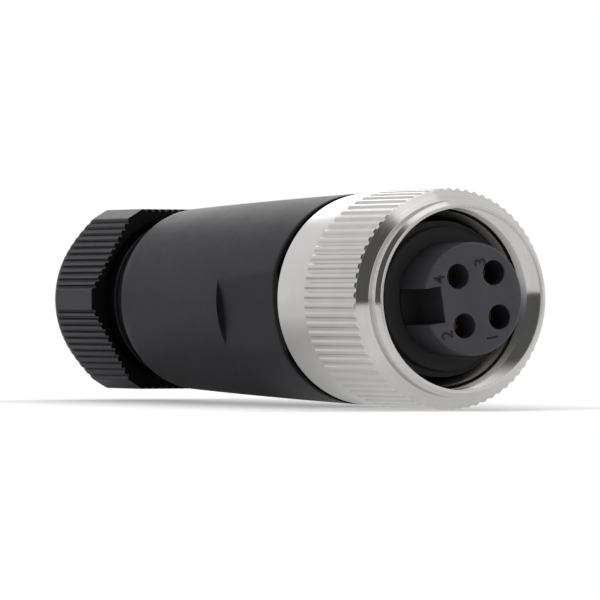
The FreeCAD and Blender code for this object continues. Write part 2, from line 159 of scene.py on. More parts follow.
class Paint(Bench):
    """A material under construction, with one Principled shader."""

    def __init__(self, name, colour, roughness, metallic=0.0, specular=0.5):
        self.material = bpy.data.materials.new(name)
        self.material.use_nodes = True
        super().__init__(self.material.node_tree)
        self.shader = self.tree.nodes["Principled BSDF"]
        self.shader.inputs["Base Color"].default_value = (*colour, 1)
        self.shader.inputs["Roughness"].default_value = roughness
        self.shader.inputs["Metallic"].default_value = metallic
        self.shader.inputs["Specular IOR Level"].default_value = specular

    def place(self, stretch=(1, 1, 1)):
        """Object coordinates in metres, stretched by a Mapping node."""
        source = self.node("ShaderNodeTexCoord", {}, {})
        mapping = self.node("ShaderNodeMapping", {}, {0: source.out(3), 3: stretch})
        return mapping.out(0)

    def axis(self):
        """Two values: millimetres along the connector's axis, and out from it."""
        source = self.node("ShaderNodeTexCoord", {}, {})
        parts = self.node("ShaderNodeSeparateXYZ", {}, {0: source.out(3)})
        x, y, z = parts.value(0), parts.value(1), parts.value(2)
        return x * 1000.0, (y * y + z * z).root() * 1000.0

    def noise(self, where, scale, detail=3.0, rough=0.5):
        """A cloudy Value from 0 to 1 at the given place."""
        sockets = {"Vector": where, "Scale": scale, "Detail": detail, "Roughness": rough}
        return self.node("ShaderNodeTexNoise", {}, sockets).value(0)

    def colour(self, first, second, share):
        """Mix two colours by a Value and feed Base Color."""
        mix = self.node("ShaderNodeMix", {"data_type": "RGBA"}, {0: share, 6: (*first, 1), 7: (*second, 1)})
        self.tree.links.new(mix.out(2), self.shader.inputs["Base Color"])

    def feed(self, name, value):
        """Link a Value to a named socket of the shader."""
        self.tree.links.new(value.socket, self.shader.inputs[name])

    def bump(self, height, depth_mm):
        """Raise the surface by a Value times a depth in millimetres."""
        sockets = {"Height": height, "Strength": 1.0, "Distance": depth_mm * MM}
        bump = self.node("ShaderNodeBump", {}, sockets)
        self.tree.links.new(bump.out(0), self.shader.inputs["Normal"])


# %% [markdown]
# Nickel plate on a turned nut is bright, but the lathe's tool leaves rings that follow the
# distance along the axis and out from it. One noise is read in those two directions, so its
# marks run round the nut everywhere. The ribs are rolled and the band behind them is ground,
# so both blur what they mirror, while the nose keeps a clear reflection. The plain wall of the
# mouth was bored with a coarse feed: its fine steps face forwards, so it mirrors what lies in
# front of the nut. A steady slope in the bump's height leans the reflection that way.

# %% Nickel finish
NOSE_REAR_X = -3.1
RIB_REAR_X = -15.8
RIB_ROOT_R = 13.5
RIB_TOP_R = 13.72
MOUTH_WALL_R = 11.22
MOUTH_REAR_X = -5.0
MOUTH_LEAN = 1.6


def make_nickel(name, low, high, mirror, ground, mark_depth):
    """Mirror roughness for the nose, ground roughness behind it, and the tool marks' depth in mm."""
    paint = Paint(name, low, mirror, metallic=1.0)
    along, out = paint.axis()
    rings_at = paint.node("ShaderNodeCombineXYZ", {}, {0: along, 1: out})
    fine_rings = paint.noise(rings_at.out(0), 8.0, detail=3.0, rough=0.7)
    wide_rings = paint.noise(rings_at.out(0), 1.6, detail=2.0)
    haze = paint.noise(paint.place(), 240.0, detail=4.0)
    grain = paint.noise(paint.place(), 4200.0, detail=2.0)
    behind_nose = 1 - along.between(NOSE_REAR_X - 0.25, NOSE_REAR_X)
    ribbed = behind_nose * along.between(RIB_REAR_X - 0.1, RIB_REAR_X)
    # Painted shade: the floor between the ribs is darkened a little.
    shade_between_ribs = ribbed * (1 - out.between(RIB_ROOT_R + 0.02, RIB_TOP_R - 0.08))
    streaks = (1 - behind_nose) * (fine_rings - 0.5) * 0.25
    blur = haze * 0.05 + wide_rings * 0.05 + ribbed * 0.06
    paint.feed("Roughness", blur + behind_nose * (ground - mirror) + (mirror - 0.05))
    paint.colour(low, high, haze * 0.2 + 0.76 - shade_between_ribs * 0.06 + streaks)
    on_wall = 1 - out.between(MOUTH_WALL_R + 0.004, MOUTH_WALL_R + 0.012)
    in_mouth = on_wall * along.between(MOUTH_REAR_X, MOUTH_REAR_X + 0.02)
    lean = in_mouth * along * (-MOUTH_LEAN / mark_depth)
    marks = fine_rings * (2.8 - behind_nose * 2.3) + wide_rings * 0.3 + grain * 0.15
    paint.bump(marks + lean, mark_depth)
    return paint.material


nickel = make_nickel("nickel plate", (0.1, 0.097, 0.092), (0.595, 0.587, 0.572),
                     mirror=0.1, ground=0.24, mark_depth=0.006)
# The inside copy is a little rougher, and its darker colour is painted shade for the thread deep in the
# mouth.
nickel_shaded_inside = make_nickel("nickel plate shaded inside", (0.08, 0.077, 0.07), (0.32, 0.308, 0.285),
                            mirror=0.2, ground=0.2, mark_depth=0.004)
print("nickel made with", len(nickel.node_tree.nodes), "nodes")

# %% [markdown]
# The moulded parts are black glass-filled nylon. Seen close, such plastic has a fine grain
# from the spark-eroded mould, a slow change of gloss, and hardly any colour. The housing is
# the darkest and smoothest. The insert is greyer, and the gland nut lies between them. Hollows
# and shaded rims of black plastic look deeper than a plain shader gives, so three of the
# finishes get painted shade: their colour is darkened in the hollows and rims where shade
# falls, which leaves the insert's open front face the lightest. The places named here are
# used again for the shapes.

# %% Moulded plastic finishes
GRAIN_SCALE = 2600.0
FACE_X = 2.7
BARREL_R = 7.0
KEYWAY_FLOOR_R = 4.35
BODY_FRONT_X = -23.9
BODY_REAR_X = -68.6
BODY_FRONT_R = 13.4
GLAND_FRONT_X = -74.6
GLAND_INSIDE_R = 10.6


def make_plastic(name, dark, light, roughness, grain_mm=0.0035, specular=0.18, shade_paint=None):
    """Two tones of a plastic. The last argument gives, from the place, 1 in the open and less where shade is
    painted into a hollow or rim.
    """
    paint = Paint(name, dark, roughness, specular=specular)
    slow = paint.noise(paint.place((0.6, 1, 1)), 90.0, detail=3.0)
    fine = paint.noise(paint.place(), GRAIN_SCALE, detail=3.0, rough=0.6)
    coarse = paint.noise(paint.place(), GRAIN_SCALE * 0.33, detail=2.0)
    tone = slow * 0.6 + fine * 0.4
    gloss = slow * 0.12 + coarse * 0.08 + (roughness - 0.1)
    # Painted shade: where the last argument falls below 1, the colour darkens towards a near-black copy of
    # the dark tone.
    if shade_paint is not None:
        unshaded_share = shade_paint(*paint.axis())
        tone = unshaded_share * (tone * 0.4 + 0.75)
        gloss = gloss + (1 - unshaded_share) * 0.35
        dark = [channel * 0.12 for channel in dark]
    paint.colour(dark, light, tone)
    paint.feed("Roughness", gloss)
    paint.bump(fine * 0.7 + coarse * 0.3, grain_mm)
    return paint.material


def housing_painted_shade(along, out):
    """Painted shade on the collar and neck behind the body, and on the rim in the nut's shade, deeper where a
    flat lies lower.
    """
    painted_nut_shade = (along + (BODY_FRONT_R - out) * 1.1).between(BODY_FRONT_X - 1.2, BODY_FRONT_X - 0.5)
    return (along.between(BODY_REAR_X - 0.15, BODY_REAR_X) * 0.65 + 0.35) * (1 - painted_nut_shade * 0.95)


def insert_painted_shade(along, out):
    """Painted shade on the barrel and flange behind the face, darker on the keyway and the holes, less dark
    near the axis.
    """
    face = along.between(FACE_X - 0.3, FACE_X - 0.1)
    barrel = out.between(BARREL_R - 0.3, BARREL_R - 0.1) * 0.4
    near_axis = (1 - out.between(KEYWAY_FLOOR_R - 0.55, KEYWAY_FLOOR_R + 0.05)) * 0.3
    return face + (1 - face) * (barrel + 0.16 + near_axis)


def gland_painted_shade(along, out):
    """Painted shade on the gland nut's front face and its inside."""
    shaded_front_face = along.between(GLAND_FRONT_X - 0.15, GLAND_FRONT_X - 0.05)
    return (1 - shaded_front_face) * out.between(GLAND_INSIDE_R - 0.2, GLAND_INSIDE_R + 0.1)


housing_black = make_plastic("housing plastic", (0.013, 0.0113, 0.0165), (0.0175, 0.0153, 0.022), 0.46,
                             specular=0.15, shade_paint=housing_painted_shade)
insert_black = make_plastic("insert plastic", (0.085, 0.083, 0.095), (0.1, 0.098, 0.112), 0.5,
                            grain_mm=0.004, shade_paint=insert_painted_shade)
gland_black = make_plastic("gland nut plastic", (0.024, 0.022, 0.028), (0.033, 0.031, 0.038), 0.42,
                           shade_paint=gland_painted_shade)
cage_black = make_plastic("cage plastic", (0.03, 0.03, 0.033), (0.042, 0.042, 0.046), 0.45)
# The figures' dark colour is painted shade, standing for the shade inside figures cut into the face.
digit_painted_shade = make_plastic("digit plastic painted shade", (0.028, 0.028, 0.031), (0.036, 0.036, 0.04), 0.5, specular=0.1)

# %% [markdown]
# Rubber scatters light in a broad, low sheen. A rough shader with a soft mottling of its
# roughness reads as rubber, where the plastics keep a clear highlight.


# %% Rubber, gold and steel finishes
def make_rubber(name, dark, light):
    """Soft black with a mottled, low sheen."""
    paint = Paint(name, dark, 0.62, specular=0.2)
    mottle = paint.noise(paint.place(), 700.0, detail=4.0)
    dust = paint.noise(paint.place(), 3600.0, detail=2.0)
    paint.colour(dark, light, mottle)
    paint.feed("Roughness", mottle * 0.2 + 0.5)
    paint.bump(dust * 0.6 + mottle * 0.4, 0.006)
    return paint.material


def make_plated(name, low, high, roughness):
    """Metal with a cloudy plating and fine scratches round the axis."""
    paint = Paint(name, low, roughness, metallic=1.0)
    cloud = paint.noise(paint.place(), 500.0, detail=3.0)
    scratch = paint.noise(paint.place((0.2, 1, 1)), 6000.0, detail=2.0)
    paint.colour(low, high, cloud)
    paint.feed("Roughness", cloud * 0.12 + (roughness - 0.04))
    paint.bump(scratch, 0.0015)
    return paint.material


rubber = make_rubber("seal rubber", (0.03, 0.0282, 0.0288), (0.047, 0.0442, 0.0442))
gold = make_plated("thin gold plate", (0.8, 0.45, 0.17), (0.95, 0.62, 0.28), 0.34)
steel = make_plated("bright zinc steel", (0.5, 0.51, 0.52), (0.64, 0.64, 0.65), 0.32)
print("finishes:", len(bpy.data.materials))

# %% [markdown]
# Most pieces of a connector are turned or look as if they were, so one helper spins an outline
# of stations and radii. Real edges are never quite sharp, and a small round is what catches
# the light, so each corner of an outline may carry a radius, and the helper swaps that corner
# for a short arc.


# %% Outlines with soft corners
def softened(outline, steps=4):
    """Points of a closed outline of (x, r, round) or (x, r), with its rounds worked out."""
    points = []
    for index, corner in enumerate(outline):
        here = Vector(corner[:2])
        if len(corner) < 3:
            points.append(here)
            continue
        to_last = Vector(outline[index - 1][:2]) - here
        to_next = Vector(outline[(index + 1) % len(outline)][:2]) - here
        room = 0.45 * min(to_last.length, to_next.length)
        half = to_last.angle(to_next) / 2
        reach = min(corner[2] / math.tan(half), room)
        start = here + to_last.normalized() * reach
        end = here + to_next.normalized() * reach
        for step in range(steps + 1):
            share = step / steps
            points.append(start.lerp(here, share).lerp(here.lerp(end, share), share))
    return points


def finer(points, longest, low_x, high_x):
    """Split the spans between two stations so that none is longer than given."""
    result = []
    for index, point in enumerate(points):
        result.append(point)
        after = points[(index + 1) % len(points)]
        span = (after - point).length
        middle = (after.x + point.x) / 2
        if low_x < middle < high_x and span > longest:
            parts = math.ceil(span / longest)
            for part in range(1, parts):
                result.append(point.lerp(after, part / parts))
    return result


# %% [markdown]
# A skin is a stack of rings, one for each point of the outline, closed into a tube wall. Plain
# turned pieces keep one radius all round a ring. Pieces with flats or grooves pass a limit,
# which may lower the radius at any station and angle. Smooth shading with edges marked sharp
# by their angle keeps long surfaces even and corners crisp.


# %% Skins
def spread(count):
    """Evenly spaced angles round the axis."""
    return [2 * math.pi * index / count for index in range(count)]


def finish_mesh(mesh, sharp_degrees):
    """Turn the faces outwards, and shade the mesh smooth up to a sharp angle."""
    work = bmesh.new()
    work.from_mesh(mesh)
    bmesh.ops.recalc_face_normals(work, faces=work.faces)
    work.to_mesh(mesh)
    work.free()
    mesh.shade_smooth()
    mesh.set_sharp_from_angle(angle=math.radians(sharp_degrees))


def add_piece(name, mesh, material):
    """Object with one material, linked to the scene."""
    piece = bpy.data.objects.new(name, mesh)
    bpy.context.scene.collection.objects.link(piece)
    mesh.materials.clear()
    mesh.materials.append(material)
    return piece


def skin(name, points, angles, material, limit=None, sharp_degrees=32):
    """Piece with a closed outline of (x, r) points in millimetres carried round the axis."""
    verts = []
    for point in points:
        for angle in angles:
            r = point.y if limit is None else limit(point.x, point.y, angle)
            verts.append((point.x * MM, r * math.cos(angle) * MM, r * math.sin(angle) * MM))
    count = len(angles)
    faces = []
    for index in range(len(points)):
        after = (index + 1) % len(points)
        for turn in range(count):
            next_turn = (turn + 1) % count
            faces.append((index * count + turn, index * count + next_turn,
                          after * count + next_turn, after * count + turn))
    mesh = bpy.data.meshes.new(name)
    mesh.from_pydata(verts, [], faces)
    finish_mesh(mesh, sharp_degrees)
    print(name, len(mesh.polygons) * 2, "triangles")
    return add_piece(name, mesh, material)


# %% [markdown]
# What repeats round the axis, or winds along it, is made with Geometry Nodes. The tree is
# built here in Python: one helper adds a node, sets it up and links its sockets. A finished
# tree is baked to a plain mesh, because instances are lost when a model is exported.


# %% Geometry Nodes helpers
def geometry_tree(name, inputs):
    """New tree with a geometry input, the given named inputs and a geometry output."""
    tree = bpy.data.node_groups.new(name, "GeometryNodeTree")
    tree.interface.new_socket("Geometry", in_out="INPUT", socket_type="NodeSocketGeometry")
    for label, kind in inputs:
        tree.interface.new_socket(label, in_out="INPUT", socket_type=kind)
    tree.interface.new_socket("Geometry", in_out="OUTPUT", socket_type="NodeSocketGeometry")
    return tree, tree.nodes.new("NodeGroupInput"), tree.nodes.new("NodeGroupOutput")


def grow(tree, kind, settings, sockets):
    """Add a node to a geometry tree, settings first, then values or links."""
    node = tree.nodes.new(kind)
    for key, setting in settings.items():
        setattr(node, key, setting)
    for key, given in sockets.items():
        if isinstance(given, bpy.types.NodeSocket):
            tree.links.new(given, node.inputs[key])
        else:
            node.inputs[key].default_value = given
    return node


def bake(name, start_mesh, tree, values, material, sharp_degrees=32):
    """Run a tree on a mesh and keep the result as a plain piece."""
    carrier = bpy.data.objects.new(name, start_mesh)
    bpy.context.scene.collection.objects.link(carrier)
    modifier = carrier.modifiers.new("grow", "NODES")
    modifier.node_group = tree
    for item in tree.interface.items_tree:
        if item.in_out == "INPUT" and item.name in values:
            modifier[item.identifier] = values[item.name]
    bpy.context.view_layer.update()
    ready = carrier.evaluated_get(bpy.context.evaluated_depsgraph_get())
    mesh = bpy.data.meshes.new_from_object(ready)
    carrier.modifiers.remove(modifier)
    bpy.data.objects.remove(carrier)
    mesh.shade_smooth()
    mesh.set_sharp_from_angle(angle=math.radians(sharp_degrees))
    mesh.name = name
    mesh.calc_loop_triangles()
    print(name, len(mesh.loop_triangles), "triangles")
    return add_piece(name, mesh, material)


# %% [markdown]
# The ribs of the nut are one short bar, repeated seventy times round the axis. A line of
# points that all lie on the axis carries the copies, and each copy is turned by its index.
# The count and the finish are inputs of the tree, so the same tree could make any knurl.

# %% Ring tree
ring_tree, ring_in, ring_out = geometry_tree(
    "ring of copies", [("Count", "NodeSocketInt"), ("Finish", "NodeSocketMaterial")])
axis_points = grow(ring_tree, "GeometryNodeMeshLine", {"mode": "OFFSET"},
                   {"Count": ring_in.outputs["Count"], "Offset": (0, 0, 0)})
copy_index = grow(ring_tree, "GeometryNodeInputIndex", {}, {})
full_turn = grow(ring_tree, "ShaderNodeMath", {"operation": "MULTIPLY"},
                 {0: copy_index.outputs[0], 1: 2 * math.pi})
copy_turn = grow(ring_tree, "ShaderNodeMath", {"operation": "DIVIDE"},
                 {0: full_turn.outputs[0], 1: ring_in.outputs["Count"]})
copy_rotation = grow(ring_tree, "ShaderNodeCombineXYZ", {}, {0: copy_turn.outputs[0]})
copies = grow(ring_tree, "GeometryNodeInstanceOnPoints", {},
              {"Points": axis_points.outputs[0], "Instance": ring_in.outputs["Geometry"],
               "Rotation": copy_rotation.outputs[0]})
real_copies = grow(ring_tree, "GeometryNodeRealizeInstances", {}, {0: copies.outputs[0]})
finished_ring = grow(ring_tree, "GeometryNodeSetMaterial", {},
                     {"Geometry": real_copies.outputs[0], "Material": ring_in.outputs["Finish"]})
ring_tree.links.new(finished_ring.outputs[0], ring_out.inputs[0])

# %% [markdown]
# A screw thread is one ridge that winds along the axis. The Spiral primitive draws its path,
# and Curve to Mesh sweeps a triangle along it, whose flanks lean 60 degrees as on a real thread.
# The profile shrinks at both ends, so that the ridge runs out into the wall. Lifting the path's
# normals to the axis keeps the profile upright all the way round. The triangle's tip points to
# the axis, for a nut, and a scale of -1 turns it outwards, for a screw.

# %% Thread tree
IN_NUT = 1
ON_SCREW = -1
INCH_PITCH = 1.5875
MOULDED_PITCH = 1.5
TOOTH_SHARE = 0.37
POINTS_PER_TURN = 60
FADE_SHARE = 0.06
FADE_END = 0.02
thread_sizes = ("Radius", "Turns", "Length", "Start", "Tooth", "Side")
thread_inputs = [(label, "NodeSocketFloat") for label in thread_sizes]
thread_inputs += [("Points", "NodeSocketInt"), ("Finish", "NodeSocketMaterial")]
thread_tree, thread_in, thread_out = geometry_tree("screw thread", thread_inputs)
path = grow(thread_tree, "GeometryNodeCurveSpiral", {},
            {"Resolution": thread_in.outputs["Points"], "Rotations": thread_in.outputs["Turns"],
             "Start Radius": thread_in.outputs["Radius"], "End Radius": thread_in.outputs["Radius"],
             "Height": thread_in.outputs["Length"]})
upright = grow(thread_tree, "GeometryNodeSetCurveNormal", {}, {"Curve": path.outputs[0]})
upright.mode = "Z_UP"
how_far = grow(thread_tree, "GeometryNodeSplineParameter", {}, {})
rise = grow(thread_tree, "ShaderNodeMapRange", {},
            {0: how_far.outputs["Factor"], 1: 0.0, 2: FADE_SHARE, 3: FADE_END, 4: 1.0})
fall = grow(thread_tree, "ShaderNodeMapRange", {},
            {0: how_far.outputs["Factor"], 1: 1 - FADE_SHARE, 2: 1.0, 3: 1.0, 4: FADE_END})
fade = grow(thread_tree, "ShaderNodeMath", {"operation": "MULTIPLY"},
            {0: rise.outputs[0], 1: fall.outputs[0]})
turned_fade = grow(thread_tree, "ShaderNodeMath", {"operation": "MULTIPLY"},
                   {0: fade.outputs[0], 1: thread_in.outputs["Side"]})
tooth = grow(thread_tree, "GeometryNodeCurvePrimitiveCircle", {"mode": "RADIUS"},
             {"Resolution": 3, "Radius": thread_in.outputs["Tooth"]})
ridge = grow(thread_tree, "GeometryNodeCurveToMesh", {},
             {"Curve": upright.outputs[0], "Profile Curve": tooth.outputs[0], "Scale": turned_fade.outputs[0],
              "Fill Caps": True})
start_place = grow(thread_tree, "ShaderNodeCombineXYZ", {}, {0: thread_in.outputs["Start"]})
laid = grow(thread_tree, "GeometryNodeTransform", {},
            {"Geometry": ridge.outputs[0], "Translation": start_place.outputs[0],
             "Rotation": (0, math.radians(90), 0)})
real_ridge = grow(thread_tree, "GeometryNodeRealizeInstances", {}, {0: laid.outputs[0]})
finished_ridge = grow(thread_tree, "GeometryNodeSetMaterial", {},
                      {"Geometry": real_ridge.outputs[0], "Material": thread_in.outputs["Finish"]})
thread_tree.links.new(finished_ridge.outputs[0], thread_out.inputs[0])


def thread(name, front_x, rear_x, tip_r, side, pitch, finish):
    """Right-handed ridge between two stations, up to its tip's radius, all in millimetres."""
    length = front_x - rear_x
    tooth = TOOTH_SHARE * pitch
    values = {"Radius": (tip_r + side * tooth) * MM, "Turns": length / pitch, "Length": length * MM,
              "Start": rear_x * MM, "Tooth": tooth * MM, "Side": float(side),
              "Points": POINTS_PER_TURN, "Finish": finish}
    return bake(name, bpy.data.meshes.new(name + " path"), thread_tree, values, finish)


# %% [markdown]
# The coupling nut is the bright piece. Its lip is thin, a short turned rim stands behind it, a
# steep cone leads up to the ribs, and a smooth band follows. The wall is one turned skin. The
# mouth is plain for five millimetres, and then comes the thread, cut here to its true depth,
# which the CAD solid only stands in for.

# %% Coupling nut
LIP_R = 11.65
LIP_REAR_X = -0.38
NOSE_RIM_R = 12.2
CONE_START_X = -1.93
CONE_SLOPE = 1.2 / 0.87
BAND_R = 13.4
NUT_REAR_X = -23.1
SKIRT_R = 12.05
FLANGE_FRONT_X = -15.35
FLANGE_REAR_X = -17.55
FLANGE_R = 8.6
THREAD_FRONT_X = MOUTH_REAR_X - 0.3
THREAD_ROOT_R = 11.0
THREAD_TIP_R = 10.22


def cone_x(r):
    """Station where the nut's nose cone reaches a radius."""
    return CONE_START_X - (r - NOSE_RIM_R) / CONE_SLOPE


nut_outline = softened([
    (0.0, MOUTH_WALL_R, 0.08),
    (0.0, LIP_R, 0.12),
    (LIP_REAR_X, NOSE_RIM_R, 0.08),
    (CONE_START_X, NOSE_RIM_R, 0.12),
    (cone_x(RIB_ROOT_R), RIB_ROOT_R, 0.04),
    (RIB_REAR_X, RIB_ROOT_R, 0.03),
    (RIB_REAR_X - 0.12, BAND_R, 0.03),
    (NUT_REAR_X, BAND_R, 0.28),
    (NUT_REAR_X, SKIRT_R, 0.12),
    (FLANGE_REAR_X, SKIRT_R, 0.1),
    (FLANGE_REAR_X, FLANGE_R, 0.1),
    (FLANGE_FRONT_X, FLANGE_R, 0.1),
    (FLANGE_FRONT_X, THREAD_ROOT_R, 0.1),
    (THREAD_FRONT_X, THREAD_ROOT_R, 0.05),
    (MOUTH_REAR_X, MOUTH_WALL_R, 0.05),
])
nut = skin("nut_wall", nut_outline, spread(280), nickel)
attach(nut, "nut")
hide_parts("coupling_nut")

# %% [markdown]
# One rib is a long low bar with a flat top and straight flanks, each about a quarter of the
# pitch. Its front end lies in the nose cone, which is why the ribs meet the cone in a row of
# scallops, and its rear end slopes down to the band. Its feet are sunk a little in the wall.
# Its flat top and its flanks are kept apart by a small sharp angle, or the shading would make
# round fingers of them.

# %% Ribs
RIB_COUNT = 70
RIB_FLOOR_SHARE = 0.28
RIB_TOP_SHARE = 0.28
RIB_SINK = 0.08
RIB_BREAK = 0.022
rib_pitch = 2 * math.pi / RIB_COUNT
rib_slope = (1 - RIB_FLOOR_SHARE - RIB_TOP_SHARE) / 2
break_start = rib_slope * 0.9
break_end = rib_slope * 1.12
rib_section = [
    (RIB_FLOOR_SHARE, RIB_ROOT_R - RIB_SINK),
    (RIB_FLOOR_SHARE, RIB_ROOT_R),
    (RIB_FLOOR_SHARE + break_start, RIB_TOP_R - RIB_BREAK),
    (RIB_FLOOR_SHARE + break_end, RIB_TOP_R),
    (1 - break_end, RIB_TOP_R),
    (1 - break_start, RIB_TOP_R - RIB_BREAK),
    (1.0, RIB_ROOT_R),
    (1.0, RIB_ROOT_R - RIB_SINK),
]
rib_work = bmesh.new()
rib_rings = []
for place in ("front", "middle", "rear"):
    ring = []
    for share, r in rib_section:
        angle = share * rib_pitch
        height = (r - RIB_ROOT_R) / (RIB_TOP_R - RIB_ROOT_R)
        if place == "front":
            x = cone_x(r) - 0.02
        elif place == "middle":
            x = (cone_x(RIB_TOP_R) + RIB_REAR_X) / 2
        else:
            x = RIB_REAR_X + 0.3 * max(height, 0) ** 2
        ring.append(rib_work.verts.new((x * MM, r * math.cos(angle) * MM, r * math.sin(angle) * MM)))
    rib_rings.append(ring)
for front_ring, rear_ring in zip(rib_rings, rib_rings[1:]):
    for index in range(len(rib_section)):
        after = (index + 1) % len(rib_section)
        rib_work.faces.new((front_ring[index], front_ring[after], rear_ring[after], rear_ring[index]))
rib_work.faces.new(rib_rings[0])
rib_work.faces.new(list(reversed(rib_rings[-1])))
bmesh.ops.recalc_face_normals(rib_work, faces=rib_work.faces)
rib_mesh = bpy.data.meshes.new("rib")
rib_work.to_mesh(rib_mesh)
rib_work.free()
ribs = bake("nut_ribs", rib_mesh, ring_tree, {"Count": RIB_COUNT, "Finish": nickel}, nickel, sharp_degrees=12)
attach(ribs, "nut")

nut_thread = thread("nut_thread", THREAD_FRONT_X, -14.9, THREAD_TIP_R, IN_NUT, INCH_PITCH, nickel_shaded_inside)
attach(nut_thread, "nut")

# %% [markdown]
# The housing is the tapered black body. It bulges very slightly between its ends, and two
# wrench flats cut its front. A soft minimum between the turned radius and a flat's plane
# rounds the rim where they meet, as a mould does, and a short step ends each flat.

# %% Housing
BODY_REAR_R = 12.05
BODY_BULGE = 0.105
FLAT_DISTANCE = 12.35
FLAT_REAR_X = -39.8
FLAT_STEP = 0.12
FLAT_ROUND = 0.16
FLAT_ANGLES = (math.radians(188), math.radians(8))
SHANK_FRONT_X = -17.85
SHANK_R = 11.75
SEAL_BORE_R = 9.15
THREAD_BORE_R = 8.95
CHAMBER_R = 10.0
CHAMBER_FRONT_X = -26.35
LEDGE_R = 6.5
SEAL_SEAT_X = -62.7
COLLAR_R = 10.5
COLLAR_REAR_X = -73.0
NECK_R = 9.0
NECK_BORE_R = 7.9
NECK_REAR_X = -81.5


def soft_minimum(first, second, blend):
    """The smaller of two values, with a round of about the blend's size where they cross."""
    share = max(blend - abs(first - second), 0) / blend
    return min(first, second) - share * share * blend / 4


def body_r(x):
    """Radius of the housing's tapered body."""
    share = (BODY_FRONT_X - x) / (BODY_FRONT_X - BODY_REAR_X)
    return BODY_FRONT_R + (BODY_REAR_R - BODY_FRONT_R) * share + BODY_BULGE * 4 * share * (1 - share)


def housing_limit(x, r, angle):
    """Radius of the housing's outside where a flat may lower it."""
    if x > BODY_FRONT_X + 0.01 or x < FLAT_REAR_X - FLAT_STEP or r < SHANK_R + 0.05:
        return r
    lowest = r
    for flat_angle in FLAT_ANGLES:
        facing = math.cos(angle - flat_angle)
        if facing > 0.5:
            lowest = soft_minimum(r, FLAT_DISTANCE / facing, FLAT_ROUND)
    step = min(max((x - (FLAT_REAR_X - FLAT_STEP)) / FLAT_STEP, 0), 1)
    return r + (lowest - r) * step


body_stations = [BODY_FRONT_X - 0.9 * index for index in range(1, 18)]
body_stations += [FLAT_REAR_X + shift for shift in (0.04, 0.0, -FLAT_STEP / 2, -FLAT_STEP, -FLAT_STEP - 0.04)]
body_stations += [FLAT_REAR_X - 1.9 * index for index in range(1, 15)]
housing_outline = [
    (SHANK_FRONT_X, SEAL_BORE_R, 0.1),
    (SHANK_FRONT_X, SHANK_R, 0.35),
    (BODY_FRONT_X, SHANK_R, 0.05),
    (BODY_FRONT_X, BODY_FRONT_R, 0.2),
]
housing_outline += [(x, body_r(x)) for x in body_stations]
housing_outline += [
    (BODY_REAR_X, BODY_REAR_R, 0.45),
    (BODY_REAR_X, COLLAR_R, 0.1),
    (COLLAR_REAR_X + 0.9, COLLAR_R, 0.05),
    (COLLAR_REAR_X + 0.75, COLLAR_R + 0.35, 0.15),
    (COLLAR_REAR_X + 0.25, COLLAR_R + 0.35, 0.15),
    (COLLAR_REAR_X, COLLAR_R, 0.1),
    (COLLAR_REAR_X, NECK_R, 0.15),
    (NECK_REAR_X, NECK_R, 0.3),
    (NECK_REAR_X, NECK_BORE_R, 0.1),
    (SEAL_SEAT_X, NECK_BORE_R),
    (SEAL_SEAT_X, LEDGE_R, 0.2),
    (SEAL_SEAT_X + 2.2, LEDGE_R, 0.2),
    (SEAL_SEAT_X + 5.2, CHAMBER_R, 0.5),
    (CHAMBER_FRONT_X, CHAMBER_R, 0.2),
    (CHAMBER_FRONT_X, THREAD_BORE_R, 0.1),
    (SHANK_FRONT_X - 2.2, THREAD_BORE_R, 0.1),
    (SHANK_FRONT_X - 2.2, SEAL_BORE_R, 0.05),
]
housing = skin("housing_shell", softened(housing_outline), spread(360), housing_black, limit=housing_limit)
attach(housing, "shell")
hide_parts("housing")

neck_thread = thread("neck_thread", -73.6, -81.2, 9.65, ON_SCREW, MOULDED_PITCH, housing_black)
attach(neck_thread, "shell")

# %% [markdown]
# Four ribs inside the chamber stop the insert from being pushed back. They can be seen only
# with the housing off, so a plain bar with softened edges is enough, copied four times by the
# same ring tree as the nut's ribs.

# %% Stop ribs
STOP_RIB_SIZE = (14.5, 2.6, 1.5)
STOP_RIB_MIDDLE = (-51.7, 8.9, 0)
STOP_RIB_COUNT = 4
bar_mesh = bpy.data.meshes.new("stop rib")
bar_work = bmesh.new()
bmesh.ops.create_cube(bar_work, size=1.0)
bmesh.ops.scale(bar_work, verts=bar_work.verts, vec=[side * MM for side in STOP_RIB_SIZE])
bmesh.ops.translate(bar_work, verts=bar_work.verts, vec=[place * MM for place in STOP_RIB_MIDDLE])
bmesh.ops.bevel(bar_work, geom=bar_work.edges, offset=0.2 * MM, segments=2, affect="EDGES")
bar_work.to_mesh(bar_mesh)
bar_work.free()
stop_rib_values = {"Count": STOP_RIB_COUNT, "Finish": housing_black}
stop_ribs = bake("stop_ribs", bar_mesh, ring_tree, stop_rib_values, housing_black)
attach(stop_ribs, "shell")

# %% [markdown]
# The gland nut is a hexagon with eleven fine grooves in each face and a smooth flat across
# each corner. Behind, the hexagon runs out on a cone, and the grooves leave scallops there.
# The limit below is that hexagon, and the outline is the cone, so the smaller radius of the
# two gives the scallops without any extra work. Angles are packed where the grooves need them.

# %% Gland nut
FACE_DISTANCE = 12.05
CORNER_DISTANCE = 13.2
GROOVE_COUNT = 11
GROOVE_DEPTH = 0.35
GROOVE_HALF = 0.3
GROOVE_FLANK = 0.17
GLAND_REAR_X = -89.5
GLAND_TURNED_R = 13.6
CROWN_LENGTH = 5.0
CROWN_R = 11.2
RECESS_R = 11.2
RECESS_REAR_X = -77.6
GLAND_THREAD_R = 9.85
CAGE_CONE_X = -83.6
CAGE_CONE_R = 8.38
CABLE_HOLE_R = 6.2
half_turn = math.radians(30)
half_face = (CORNER_DISTANCE - FACE_DISTANCE * math.cos(half_turn)) / math.sin(half_turn)
groove_pitch = 2 * half_face / GROOVE_COUNT
face_half_angle = math.atan(half_face / FACE_DISTANCE)


